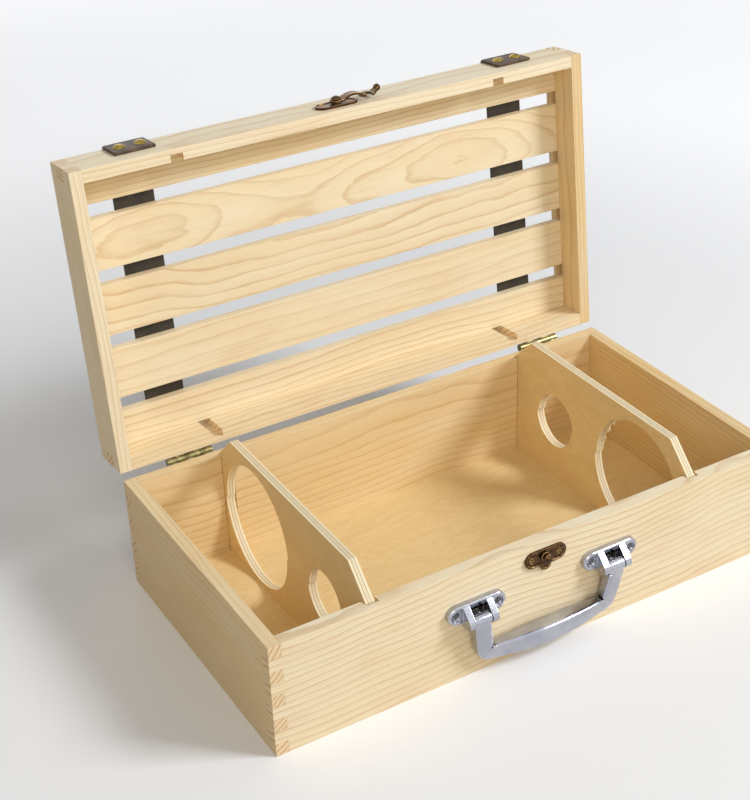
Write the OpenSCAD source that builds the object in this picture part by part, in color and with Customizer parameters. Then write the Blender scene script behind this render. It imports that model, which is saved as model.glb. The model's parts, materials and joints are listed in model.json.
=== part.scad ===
// Wooden wine box for two bottles lying side by side, shown with its lid open.
// Millimetres. The origin is the centre of the underside, +X runs to the right,
// the front faces -Y and +Z is up. Lid pieces are drawn closed, then swung open.

/* [Box] */
// Outside length of the box
box_len = 360; // [330:1:420]
// Outside depth of the box, front to back
box_depth = 193; // [190:1:230]
// Height of the base from its underside to its rim
base_h = 76; // [72:1:90]
// Height of the lid frame
lid_h = 30; // [26:1:50]
// Thickness of the frame boards
wall = 8; // [7:0.5:12]
// Gap between the rims when the lid is shut
rim_gap = 0.4; // [0.3:0.1:1]

/* [Joints in the wood] */
// Fingers on each corner of the base, an odd number
base_fingers = 9; // [5:2:11]
// Fingers on each corner of the lid, an odd number
lid_fingers = 3; // [3:2:5]
// Glue gap on every side of a finger
finger_fit = 0.05; // [0.02:0.01:0.15]
// Thickness of the plywood floor
floor_t = 4; // [3:0.5:6]
// Width of the rabbet that the floor sits in
rabbet = 4; // [2:0.5:5]
// Gap round the edge of the floor
floor_fit = 0.1; // [0.05:0.05:0.3]

/* [Bottle cradles] */
// Thickness of the cradle plywood
cradle_t = 5.5; // [4:0.5:7]
// Distance from the middle of the box to each cradle groove
cradle_x = 113.5; // [95:0.5:125]
// Width of the grooves for the cradles
groove_w = 8; // [7.5:0.5:12]
// Depth of the grooves for the cradles
groove_d = 4.5; // [3:0.5:5.5]
// Gap between a cradle and the left side of its groove
cradle_side_gap = 0.3; // [0.1:0.1:1.5]
// Gap between a cradle's ends and the bottom of its groove
cradle_end_gap = 1; // [0.3:0.1:2]
// Distance between the axes of the two bottles
bottle_pitch = 87; // [84:0.5:90]
// Radius of the holes for the bottles' bodies
body_hole_r = 41; // [36:0.5:42]
// Radius of the holes for the bottles' necks
neck_hole_r = 19.3; // [15:0.1:24]
// Height of the bottles' axes above the floor
axis_over_floor = 43.5; // [43:0.5:46]
// Height of the cradles above the rim
cradle_rise = 18.5; // [15:0.5:19]
// Saw gap between the two halves of a cradle
cradle_seam = 0.15; // [0.05:0.05:0.5]
// How far back the holes in the lower halves are cut
hole_shift = 1.6; // [0:0.1:2]

/* [Lid slats] */
// Height of the slats' inner face over the rim
slat_rise = 20; // [19.8:0.1:20.5]
// Thickness of the slats
slat_t = 6; // [4:0.5:8]
// Width of the gaps between the slats
slat_gap = 9.3; // [5:0.1:14]
// Width of the slat at the hinge side
first_slat_w = 23; // [15:0.1:30]
// Width of the slat at the front
last_slat_w = 19.3; // [12:0.1:30]
// Depth of the grooves that hold the slats' ends
slat_groove = 4; // [2:0.5:5]
// Gap round a slat in its groove
slat_fit = 0.1; // [0.05:0.05:0.3]

/* [Straps] */
// Width of the leather straps
strap_w = 26; // [20:1:34]
// Thickness of the leather
strap_t = 2.2; // [1.5:0.1:3]
// Distance from the end of the box to the middle of a strap
strap_inset = 46; // [38:1:48]
// Height of the strap's front end over the rim
strap_front_end = 11; // [6:0.5:14]
// Height of the strap's back end over the rim
strap_back_end = 14; // [13.5:0.5:16]
// Length of the leather's slope from the frame down to the slats
strap_slope = 8; // [5:0.5:16]
// Radius of a nail's head
nail_head_r = 4; // [3:0.1:5]
// Height of a nail's domed head
nail_head_h = 2; // [1.2:0.1:2.6]
// Radius of a nail's shank
nail_r = 0.9; // [0.6:0.1:1.2]
// Length of a nail's shank in the wood
nail_bite = 6; // [3:0.5:6.5]
// Distance between the two nails at a strap's end
nail_pitch = 13.4; // [11:0.1:15]
// Distance from the frame's outer edge to the nails
nail_drop = 10; // [7:0.5:12]

/* [Hinges] */
// Length of each hinge
hinge_len = 31; // [26:1:40]
// Height of a hinge leaf, from the pin's axis
hinge_leaf_h = 11; // [10:0.5:12]
// Thickness of a hinge leaf
hinge_leaf_t = 1; // [0.8:0.1:1.5]
// Number of knuckles, an odd number
knuckles = 5; // [3:2:7]
// Outer radius of the knuckles
knuckle_r = 2.6; // [2.2:0.1:2.8]
// Distance from the back of the box to the pin's axis
pivot_out = 3; // [2.9:0.1:3.4]
// Radius of the hinge pin
hinge_pin_r = 1; // [0.8:0.1:1.3]
// Gap between neighbouring knuckles
knuckle_gap = 0.3; // [0.3:0.05:0.6]
// Gap between the hinge pin and its bore
pin_fit = 0.05; // [0.02:0.01:0.1]
// Distance between the two screws of a leaf
hinge_screw_pitch = 19; // [14:0.5:22]
// How far the lid is swung open
open_angle = 96; // [90:1:100]

/* [Hook latch] */
// Length of the plates
latch_plate_l = 29; // [27:0.5:34]
// Height of the plates
latch_plate_h = 11; // [10:0.5:12]
// Thickness of the plates at their raised rim
latch_plate_t = 1.6; // [1.3:0.1:1.7]
// Width of the plates' raised rim
latch_rim_w = 1.1; // [0.8:0.1:1.5]
// Height of the plates' raised rim over their sunk field
latch_rim_h = 0.5; // [0.2:0.1:0.6]
// Height of the hook's pivot over the rim
hook_rise = 11; // [9:0.5:13]
// Distance from the hook's pivot to the stud
hook_reach = 22.5; // [20:0.5:25]
// Distance from the wood to the back of the hook
hook_standoff = 2; // [2:0.1:2.6]
// Thickness of the hook
hook_t = 1.5; // [1:0.1:2]
// Radius of the stud's neck and of the hook's pivot
stud_r = 1.6; // [1.2:0.1:1.8]
// Gap between the stud's neck and the hook's slot
slot_fit = 0.5; // [0.4:0.1:0.8]
// Radius of the stud's head
stud_head_r = 3.2; // [2.6:0.1:3.6]
// Height of the stud's domed head
stud_head_h = 2.2; // [1.5:0.1:2.8]
// Gap between a head and the hook that passes under it
head_gap = 0.4; // [0.3:0.1:0.8]
// Distance between the two screws of a plate
latch_screw_pitch = 19.4; // [18:0.2:20]
// Depth of the stud and of the hook's pivot in the wood
stud_root = 5; // [3:0.5:6]
// Thickness of the rim of the stud's head
stud_rim = 0.5; // [0.3:0.1:0.8]
// Radius of the lobe below the middle of the catch plate
lobe_r = 4; // [3:0.5:5]
// Radius of the eye at the hook's pivot
hook_eye_r = 4.2; // [3.4:0.1:5]
// Width of the hook's arm next to its slot
arm_w = 4.6; // [3:0.1:5.5]
// Width of the metal round the slot
slot_rim = 2.6; // [1.8:0.1:3.2]
// Angle that the slot sweeps about the pivot
slot_sweep = 35; // [30:1:40]
// Height of the arch in the hook's arm
arch_h = 2.6; // [1.5:0.1:3.5]
// Distance from the stud to the ball at the hook's end
ball_out = 7.5; // [6.5:0.5:9]
// Radius of the ball
end_ball_r = 2.3; // [1.8:0.1:2.6]
// Distance from the back of the hook to the middle of the ball
ball_lift = 3.2; // [2:0.1:4.5]
// How far the ball lies off the arm's middle
ball_shift = 1; // [0:0.5:1.5]

/* [Carrying handle] */
// Distance between the middles of the two brackets
bracket_pitch = 95.4; // [85:0.2:110]
// How far left of the box's middle the handle sits
handle_left = 1.6; // [0:0.1:5]
// Length of a bracket
bracket_l = 39.4; // [37:0.2:46]
// Height of a bracket
bracket_h = 12.4; // [11.6:0.2:15]
// Thickness of a bracket
bracket_t = 4; // [3.5:0.1:4.5]
// Height of the brackets' middle above the underside
bracket_z = 49; // [46:0.5:52]
// Rounding on a bracket's edge
bracket_edge = 1.3; // [0.5:0.1:1.8]
// Distance between the two screws of a bracket
bracket_screw_pitch = 28.8; // [27.6:0.2:29.6]
// Radius of the recess round a bracket's screw
screw_recess_r = 3.4; // [3:0.1:4]
// Depth of the recess round a bracket's screw
screw_recess = 1.3; // [0.8:0.1:2]
// Width of the gap between a bracket's ears
ear_gap = 11.6; // [11:0.1:13]
// Thickness of an ear
ear_t = 4; // [3:0.1:4.4]
// Radius of an ear round the pin
ear_r = 4; // [3.6:0.1:4.4]
// Height of an ear's upper end over the pin's axis
ear_rise = 9.5; // [7:0.5:10]
// Distance from the wood to the pin's axis
handle_out = 8; // [7.8:0.1:9]
// Distance from the middle of a bracket down to the pin's axis
handle_pin_drop = 4.5; // [3.5:0.5:5]
// Radius of the handle's pins
handle_pin_r = 1.5; // [1.2:0.1:1.8]
// Thickness of a bracket behind the handle's eye
pocket_floor = 1.2; // [0.8:0.1:2]
// Width of the bracket's edge above the pocket
pocket_edge = 1.5; // [1:0.1:2.5]
// Gap between the handle's eyes and the ears' outline
eye_step = 0.2; // [0:0.1:0.6]
// Side gap between the handle's eyes and the ears
eye_side_gap = 0.3; // [0.3:0.05:0.6]
// Distance from the pin's axis down to the grip's axis
handle_drop = 28.3; // [24:0.1:32]
// Thickness of the handle's legs, front to back
leg_t = 7; // [6:0.5:7.5]
// How far each leg leans inwards on its way to the grip
leg_lean = 3.6; // [0:0.1:6]
// Grip's ends behind the legs' flat faces
grip_inset = 0.3; // [0.2:0.1:0.5]
// Width of the cut on a leg's edges
leg_edge = 1.4; // [0.5:0.1:2]
// Length of a leg below the ears before it starts to lean
leg_neck = 0.6; // [0.4:0.1:3]
// Rounding of the handle's lower corners
corner_r = 9; // [7:0.5:10]
// Height of the grip at its ends
grip_end_h = 10; // [8:0.5:12]
// Height of the grip at its middle
grip_mid_h = 13.5; // [12.5:0.5:15]
// How far the front of the grip swells forward at its middle
grip_swell = 4; // [2:0.5:5]
// Gap between the hanging handle and the wood
hang_gap = 0.4; // [0.3:0.1:1]
// Length of the grip inside each leg
grip_root = 4; // [2:0.5:5]

/* [Small screws] */
// Radius of the small screws' heads
small_head_r = 1.9; // [1.6:0.1:2.1]
// Radius of the small screws' shanks
small_shank_r = 0.9; // [0.7:0.1:1]
// Length of the small screws
small_screw_l = 7; // [5:0.5:7.5]
// Radius of the bracket screws' heads
bracket_head_r = 2.7; // [2.2:0.1:3]
// Radius of the bracket screws' shanks
bracket_shank_r = 1.3; // [1:0.1:1.5]
// Length of the bracket screws
bracket_screw_l = 10; // [8:0.5:10.5]
// Gap round every screw and nail
screw_fit = 0.05; // [0.02:0.01:0.1]

/* [Hidden] */

$fn = 64;
// What a cutting tool runs past the face that it cuts
past = 1;

inner_l = box_len - 2 * wall;
inner_d = box_depth - 2 * wall;
half_l = box_len / 2;
half_d = box_depth / 2;

floor_l = inner_l + 2 * rabbet;
floor_d = inner_d + 2 * rabbet;

axis_z = floor_t + axis_over_floor;
cradle_half_d = inner_d / 2 + groove_d - cradle_end_gap;
cradle_top = base_h + cradle_rise;

rim_z = base_h + rim_gap;
lid_top = rim_z + lid_h;
pivot = [0, half_d + pivot_out, base_h + rim_gap / 2];
slat_l = inner_l + 2 * slat_groove;
slats = 5;
slat_pitch = (inner_d - first_slat_w - last_slat_w - slat_gap) / (slats - 2);

strap_x = half_l - strap_inset;
knuckle_l = hinge_len / knuckles;
leaf_plate_h = hinge_leaf_h - knuckle_r - knuckle_gap;

slot_half = stud_r + slot_fit;
stud_z = rim_z + hook_rise - hook_reach;
head_seat = hook_standoff + hook_t + head_gap;

bracket_x = bracket_pitch / 2;
pin_z = bracket_z - handle_pin_drop;
leg_w = ear_gap - 2 * eye_side_gap;
neck_end = ear_r + leg_neck;
leg_angle = atan(leg_lean / (handle_drop - neck_end));
grip_half = bracket_x - leg_w / 2 - leg_lean;
// The handle hangs with its flat back against the wood
hang_angle = asin((handle_out - leg_t / 2 - hang_gap) / (handle_drop + grip_mid_h / 2));

PINE = [0.93, 0.85, 0.68];
PLY = [0.86, 0.74, 0.53];
LEATHER = [0.20, 0.18, 0.14];
BRASS = [0.72, 0.64, 0.36];
BRONZE = [0.32, 0.22, 0.14];
CHROME = [0.75, 0.76, 0.80];

// Puts a child on the front of the box: its z axis points out of the wood, its y axis up
module on_front(x, z) {
    translate([x, -half_d, z]) rotate([90, 0, 0]) children();
}

// Puts a child on the back of the box: its z axis points out of the wood, its y axis up
module on_back(x, z) {
    translate([x, half_d, z]) rotate([90, 0, 180]) children();
}

// Swings a piece of the closed lid about the hinge pins to its open place
module swung_open() {
    translate(pivot) rotate([-open_angle, 0, 0]) translate(-pivot) children();
}

// Part of a sphere that stands h high on a circle of radius r
module dome(r, h) {
    ball_r = (r * r + h * h) / (2 * h);
    intersection() {
        translate([0, 0, h - ball_r]) sphere(ball_r, $fn = 48);
        cylinder(h = h + past, r = r + past);
    }
}

// Half of a plate's cross-section: square at the back, a round front edge
module plate_section(r, thick, edge) {
    polygon(concat(
        [[0, 0], [r, 0]],
        [for (a = [0:15:90]) [r - edge + edge * cos(a), thick - edge + edge * sin(a)]],
        [[0, thick]]
    ));
}

// A plate with round ends along x, lying on z = 0, with its front edge rounded
module round_end_plate(length, width, thick, edge) {
    run = length - width;
    for (side = [-1, 1])
        translate([side * run / 2, 0, 0]) rotate_extrude() plate_section(width / 2, thick, edge);
    rotate([90, 0, 90]) translate([0, 0, -run / 2]) linear_extrude(run) {
        plate_section(width / 2, thick, edge);
        mirror([1, 0]) plate_section(width / 2, thick, edge);
    }
}

// Countersunk wood screw along -z with its head flush at z = 0 and a cross recess
module wood_screw(head_r, shank_r, length) {
    head_h = head_r - shank_r;
    tip_h = 2 * shank_r;
    tip_r = shank_r / 6;
    recess = 0.28 * head_r;
    difference() {
        union() {
            translate([0, 0, -head_h]) cylinder(h = head_h, r1 = shank_r, r2 = head_r);
            translate([0, 0, tip_h - length]) cylinder(h = length - tip_h - head_h / 2, r = shank_r);
            translate([0, 0, -length]) cylinder(h = tip_h, r1 = tip_r, r2 = shank_r);
        }
        for (turn = [0, 90])
            rotate([0, 0, turn]) cube([1.5 * head_r, recess, head_r / 2], center = true);
    }
}

// Hole for a wood screw, with the same gap all round it
module screw_hole(head_r, shank_r, length) {
    head_h = head_r - shank_r;
    hole_r = shank_r + screw_fit;
    translate([0, 0, -length - screw_fit]) cylinder(h = length, r = hole_r);
    translate([0, 0, -head_h]) cylinder(h = head_h, r1 = hole_r, r2 = head_r + screw_fit);
    cylinder(h = past, r = head_r + screw_fit);
}

// A long board with grooves for the cradles: side is -1 for the front and 1 for the back.
// The odd fingers of the end boards pass through its ends.
module long_board(side, z0, height, fingers) {
    finger_h = height / fingers;
    difference() {
        translate([-half_l, side * (half_d - wall / 2) - wall / 2, z0]) cube([box_len, wall, height]);
        for (end = [-1, 1], i = [0:2:fingers - 1])
            translate([end * (half_l - wall / 2), side * (half_d - wall / 2), z0 + (i + 0.5) * finger_h])
                cube([wall + 2 * finger_fit, wall + 2 * past, finger_h + 2 * finger_fit], center = true);
        for (end = [-1, 1])
            translate([end * cradle_x, side * (inner_d / 2 + groove_d / 2 - past / 2), z0 + height / 2])
                cube([groove_w, groove_d + past, height + 2 * past], center = true);
    }
}

// An end board: side is -1 for the left and 1 for the right.
// The even fingers of the long boards pass through its edges.
module end_board(side, z0, height, fingers) {
    finger_h = height / fingers;
    difference() {
        translate([side * (half_l - wall / 2) - wall / 2, -half_d, z0]) cube([wall, box_depth, height]);
        for (edge = [-1, 1], i = [1:2:fingers - 1])
            translate([side * (half_l - wall / 2), edge * (half_d - wall / 2), z0 + (i + 0.5) * finger_h])
                cube([wall + 2 * past, wall + 2 * finger_fit, finger_h + 2 * finger_fit], center = true);
    }
}

// Rabbet for the floor, cut into the lower edges of all four boards
module floor_rabbet() {
    translate([0, 0, floor_t / 2 - past / 2])
        cube([floor_l + 2 * floor_fit, floor_d + 2 * floor_fit, floor_t + past], center = true);
}

module latch_screw_places(z) {
    for (side = [-1, 1])
        on_front(side * latch_screw_pitch / 2, z) translate([0, 0, latch_plate_t - latch_rim_h]) children();
}

module bracket_screw_places() {
    for (bracket = [-1, 1], side = [-1, 1])
        on_front(bracket * bracket_x + side * bracket_screw_pitch / 2 - handle_left, bracket_z)
            translate([0, 0, bracket_t - screw_recess]) children();
}

// Screw places on the hinge leaves: way is -1 for the base leaves and 1 for the lid leaves
module hinge_screw_places(way) {
    screw_z = pivot[2] + way * (hinge_leaf_h - leaf_plate_h / 2);
    for (hinge = [-1, 1], side = [-1, 1])
        on_back(hinge * strap_x + side * hinge_screw_pitch / 2, screw_z)
            translate([0, 0, hinge_leaf_t]) children();
}

module base_front_board() {
    color(PINE) difference() {
        long_board(-1, 0, base_h, base_fingers);
        floor_rabbet();
        latch_screw_places(stud_z) screw_hole(small_head_r, small_shank_r, small_screw_l);
        on_front(0, stud_z) stud_hole();
        bracket_screw_places() screw_hole(bracket_head_r, bracket_shank_r, bracket_screw_l);
    }
}

module base_back_board() {
    color(PINE) difference() {
        long_board(1, 0, base_h, base_fingers);
        floor_rabbet();
        hinge_screw_places(-1) screw_hole(small_head_r, small_shank_r, small_screw_l);
    }
}

module base_end(side) {
    color(PINE) difference() {
        end_board(side, 0, base_h, base_fingers);
        floor_rabbet();
    }
}

module base_left_end() {
    base_end(-1);
}

module base_right_end() {
    base_end(1);
}

module base_floor() {
    color(PLY) translate([0, 0, floor_t / 2]) cube([floor_l, floor_d, floor_t], center = true);
}

// Upright plywood sheet drawn in (y, z), standing against the left side of its groove
module cradle_sheet(side) {
    left = side * cradle_x - groove_w / 2 + cradle_side_gap;
    translate([left, 0, 0]) rotate([90, 0, 90]) linear_extrude(cradle_t) children();
}

// The two bottle holes: the body of one bottle lies beside the neck of the other
module bottle_holes(side) {
    translate([-side * bottle_pitch / 2, axis_z]) circle(body_hole_r, $fn = 128);
    translate([side * bottle_pitch / 2, axis_z]) circle(neck_hole_r, $fn = 96);
}

module lower_cradle(side) {
    seat_z = axis_z - cradle_seam / 2;
    color(PLY) cradle_sheet(side) difference() {
        translate([-cradle_half_d, floor_t]) square([2 * cradle_half_d, seat_z - floor_t]);
        translate([hole_shift, 0]) bottle_holes(side);
    }
}

// The upper half has its top corners cut off at 45 degrees from the rim up
module upper_cradle(side) {
    seat_z = axis_z + cradle_seam / 2;
    top_half_d = cradle_half_d - cradle_rise;
    color(PLY) cradle_sheet(side) difference() {
        polygon([
            [-cradle_half_d, seat_z], [cradle_half_d, seat_z], [cradle_half_d, base_h],
            [top_half_d, cradle_top], [-top_half_d, cradle_top], [-cradle_half_d, base_h]
        ]);
        bottle_holes(side);
    }
}

module left_lower_cradle() {
    lower_cradle(-1);
}

module left_upper_cradle() {
    upper_cradle(-1);
}

module right_lower_cradle() {
    lower_cradle(1);
}

module right_upper_cradle() {
    upper_cradle(1);
}

// One leaf drawn about the pin's axis at z = 0 with its plate below the pin.
// first is the leaf's first knuckle, counted from 0, and each second one after it is its own.
module hinge_leaf(first) {
    difference() {
        union() {
            translate([-hinge_len / 2, 0, -hinge_leaf_h]) cube([hinge_len, hinge_leaf_t, leaf_plate_h]);
            for (i = [first:2:knuckles - 1])
                translate([(i - knuckles / 2) * knuckle_l + knuckle_gap / 2, 0, 0]) {
                    translate([0, 0, -hinge_leaf_h + past])
                        cube([knuckle_l - knuckle_gap, hinge_leaf_t, hinge_leaf_h - past]);
                    translate([0, pivot_out, 0]) rotate([0, 90, 0])
                        cylinder(h = knuckle_l - knuckle_gap, r = knuckle_r);
                }
        }
        translate([-hinge_len / 2 - past, pivot_out, 0]) rotate([0, 90, 0])
            cylinder(h = hinge_len + 2 * past, r = hinge_pin_r + pin_fit);
    }
}

module hinge_base_leaf(side) {
    color(BRASS) difference() {
        translate([side * strap_x, half_d, pivot[2]]) hinge_leaf(0);
        hinge_screw_places(-1) screw_hole(small_head_r, small_shank_r, small_screw_l);
    }
}

module hinge_lid_leaf(side) {
    color(BRASS) swung_open() difference() {
        translate([side * strap_x, half_d, pivot[2]]) mirror([0, 0, 1]) hinge_leaf(1);
        hinge_screw_places(1) screw_hole(small_head_r, small_shank_r, small_screw_l);
    }
}

module hinge_pin(side) {
    color(BRASS) translate([side * strap_x - hinge_len / 2, pivot[1], pivot[2]]) rotate([0, 90, 0])
        cylinder(h = hinge_len, r = hinge_pin_r);
}

module left_hinge_base_leaf() {
    hinge_base_leaf(-1);
}

module right_hinge_base_leaf() {
    hinge_base_leaf(1);
}

module left_hinge_lid_leaf() {
    hinge_lid_leaf(-1);
}

module right_hinge_lid_leaf() {
    hinge_lid_leaf(1);
}

module left_hinge_pin() {
    hinge_pin(-1);
}

module right_hinge_pin() {
    hinge_pin(1);
}

module hinge_base_screws() {
    color(BRASS) hinge_screw_places(-1) wood_screw(small_head_r, small_shank_r, small_screw_l);
}

module hinge_lid_screws() {
    color(BRASS) swung_open() hinge_screw_places(1) wood_screw(small_head_r, small_shank_r, small_screw_l);
}

// Stud with a domed head on a neck that passes through its plate into the wood
module stud() {
    translate([0, 0, -stud_root]) cylinder(h = stud_root + head_seat, r = stud_r);
    translate([0, 0, head_seat]) cylinder(h = stud_rim, r = stud_head_r);
    translate([0, 0, head_seat + stud_rim]) dome(stud_head_r, stud_head_h - stud_rim);
}

module stud_hole() {
    translate([0, 0, -stud_root - screw_fit]) cylinder(h = stud_root + head_seat, r = stud_r + screw_fit);
}

// Latch plate with round ends, a raised rim and a boss round its stud. lobe is the radius of
// the round lobe below its middle, 0 for none.
module latch_plate(z, lobe) {
    edge = latch_rim_w / 3;
    difference() {
        on_front(0, z) {
            round_end_plate(latch_plate_l, latch_plate_h, latch_plate_t, edge);
            if (lobe > 0)
                translate([0, -latch_plate_h / 2, 0])
                    rotate_extrude() plate_section(lobe, latch_plate_t, edge);
        }
        on_front(0, z) translate([0, 0, latch_plate_t - latch_rim_h]) linear_extrude(latch_plate_t)
            difference() {
                latch_field(lobe);
                circle(stud_r + latch_rim_w);
            }
        latch_screw_places(z) screw_hole(small_head_r, small_shank_r, small_screw_l);
        on_front(0, z) stud_hole();
    }
}

// Outline of a latch plate's sunk field
module latch_field(lobe) {
    field_h = latch_plate_h - 2 * latch_rim_w;
    run = latch_plate_l - latch_plate_h;
    square([run, field_h], center = true);
    for (side = [-1, 1])
        translate([side * run / 2, 0]) circle(field_h / 2);
    if (lobe > 0)
        translate([0, -latch_plate_h / 2]) circle(lobe - latch_rim_w);
}

module catch_plate() {
    color(BRONZE) latch_plate(stud_z, lobe_r);
}

module catch_stud() {
    color(BRONZE) on_front(0, stud_z) stud();
}

module catch_screws() {
    color(BRONZE) latch_screw_places(stud_z) wood_screw(small_head_r, small_shank_r, small_screw_l);
}

module hook_plate() {
    color(BRONZE) swung_open() latch_plate(rim_z + hook_rise, 0);
}

module hook_plate_screws() {
    color(BRONZE) swung_open() latch_screw_places(rim_z + hook_rise)
        wood_screw(small_head_r, small_shank_r, small_screw_l);
}

module hook_rivet() {
    color(BRONZE) swung_open() on_front(0, rim_z + hook_rise) stud();
}

// Hook drawn about its pivot with the arm along x. The slot follows the stud's own
// path round the pivot and opens on the side that faces the rim.
module hook_outline() {
    arm_root = 0.8 * hook_eye_r;
    difference() {
        union() {
            circle(hook_eye_r);
            polygon([[0, -arm_root], [hook_reach, -arm_w / 2], [hook_reach, arm_w / 2], [0, arm_root]]);
            translate([hook_reach, 0]) circle(slot_half + slot_rim);
            translate([hook_reach + slot_half, ball_shift - end_ball_r])
                square([ball_out - slot_half, 2 * end_ball_r]);
        }
        circle(stud_r + pin_fit);
        translate([hook_reach, 0]) circle(slot_half);
        intersection() {
            difference() {
                circle(hook_reach + slot_half, $fn = 128);
                circle(hook_reach - slot_half, $fn = 128);
            }
            polygon([[0, 0], [2 * hook_reach, 0], [2 * hook_reach, -2 * hook_reach * tan(slot_sweep)]]);
        }
    }
}

// Side view of the hook's arm, drawn with x along it and y away from the wood: flat at the eye,
// arched over the rims, flat again at the slot, then rising to the ball
module hook_profile() {
    arch_start = hook_eye_r;
    arch_end = hook_reach - stud_head_r - head_gap;
    half = (arch_end - arch_start) / 2;
    arch_r = (half * half + arch_h * arch_h) / (2 * arch_h);
    rise_start = hook_reach + stud_head_r + head_gap;
    ball_x = hook_reach + ball_out;
    translate([-2 * hook_eye_r, 0]) square([arch_start + 2 * hook_eye_r, hook_t]);
    intersection() {
        translate([arch_start + half, arch_h - arch_r]) difference() {
            circle(arch_r + hook_t);
            circle(arch_r);
        }
        translate([arch_start, 0]) square([2 * half, arch_h + hook_t]);
    }
    translate([arch_end - hook_t, 0]) square([rise_start - arch_end + 2 * hook_t, hook_t]);
    polygon([
        [rise_start, 0], [rise_start + hook_t, 0], [ball_x, ball_lift - hook_t / 2],
        [ball_x, ball_lift + hook_t / 2], [rise_start, hook_t]
    ]);
}

// Arched hook with a ball at its end
module latch_hook() {
    color(BRONZE) swung_open() on_front(0, rim_z + hook_rise) translate([0, 0, hook_standoff]) {
        intersection() {
            linear_extrude(2 * ball_lift + hook_t) hook_outline();
            translate([0, hook_reach, 0]) rotate([90, 0, 0]) linear_extrude(2 * hook_reach) hook_profile();
        }
        translate([hook_reach + ball_out, ball_shift, ball_lift]) sphere(end_ball_r);
    }
}

// Bracket with two ears round the handle's eye, a pocket between them and sunk screws
module handle_bracket(side) {
    color(CHROME) difference() {
        on_front(side * bracket_x - handle_left, bracket_z) {
            round_end_plate(bracket_l, bracket_h, bracket_t, bracket_edge);
            for (ear = [-1, 1])
                translate([ear * (ear_gap + ear_t) / 2 - ear_t / 2, -handle_pin_drop, handle_out])
                    rotate([90, 0, 90]) linear_extrude(ear_t) ear_outline();
        }
        on_front(side * bracket_x - handle_left, bracket_z) {
            translate([-ear_gap / 2, -bracket_h, pocket_floor])
                cube([ear_gap, 1.5 * bracket_h - pocket_edge, bracket_t + handle_out]);
            translate([-bracket_l, -handle_pin_drop, handle_out]) rotate([0, 90, 0])
                cylinder(h = 2 * bracket_l, r = handle_pin_r + pin_fit);
        }
        bracket_screw_places() {
            screw_hole(bracket_head_r, bracket_shank_r, bracket_screw_l);
            cylinder(h = bracket_t, r = screw_recess_r);
        }
    }
}

// Side view of an ear round the pin's axis, drawn with x up and y away from the wood. Its
// front slopes down from the top of the plate to the round end.
module ear_outline() {
    root = bracket_t / 2 - handle_out;
    shoulder = bracket_t - handle_out;
    reach = sqrt(ear_rise * ear_rise + shoulder * shoulder);
    slope = atan2(shoulder, ear_rise) + acos(ear_r / reach);
    circle(ear_r);
    polygon([
        [-ear_r, 0], [-ear_r, root], [ear_rise, root], [ear_rise, shoulder],
        [ear_r * cos(slope), ear_r * sin(slope)], [0, 0]
    ]);
}

module left_handle_bracket() {
    handle_bracket(-1);
}

module right_handle_bracket() {
    handle_bracket(1);
}

module handle_pin(side) {
    pin_l = ear_gap + 2 * ear_t;
    color(CHROME) on_front(side * bracket_x - handle_left, pin_z)
        translate([-pin_l / 2, 0, handle_out]) rotate([0, 90, 0]) cylinder(h = pin_l, r = handle_pin_r);
}

module left_handle_pin() {
    handle_pin(-1);
}

module right_handle_pin() {
    handle_pin(1);
}

module handle_bracket_screws() {
    color(CHROME) bracket_screw_places() wood_screw(bracket_head_r, bracket_shank_r, bracket_screw_l);
}

// Handle drawn hanging straight down from the pins' axis, then swung back against the wood
module carry_handle() {
    color(CHROME) translate([-handle_left, -half_d - handle_out, pin_z]) rotate([hang_angle, 0, 0]) {
        translate([0, 0, -handle_drop]) grip();
        for (side = [-1, 1])
            handle_leg(side);
    }
}

// Grip about its axis along x: flat at the back, swelling upwards, downwards and forwards
// along arcs from the legs to its middle
module grip() {
    side_l = 2 * (grip_half + grip_root);
    back = leg_t / 2 - grip_inset;
    intersection() {
        translate([0, back, 0]) rotate([90, 0, 0]) linear_extrude(2 * leg_t + grip_swell) intersection() {
            square([side_l, 2 * grip_mid_h], center = true);
            swell_disc(grip_end_h / 2, grip_mid_h / 2);
            mirror([0, 1]) swell_disc(grip_end_h / 2, grip_mid_h / 2);
        }
        translate([0, 0, -grip_mid_h]) linear_extrude(2 * grip_mid_h) intersection() {
            translate([-side_l, back - 2 * leg_t - grip_swell]) square([2 * side_l, 2 * leg_t + grip_swell]);
            mirror([0, 1]) swell_disc(leg_t / 2 - grip_inset, leg_t / 2 + grip_swell);
        }
    }
}

// Disc whose rim rises from end at the grip's ends to mid at its middle
module swell_disc(end, mid) {
    swell = mid - end;
    arc_r = (grip_half * grip_half + swell * swell) / (2 * swell);
    translate([0, mid - arc_r]) circle(arc_r, $fn = 720);
}

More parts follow.
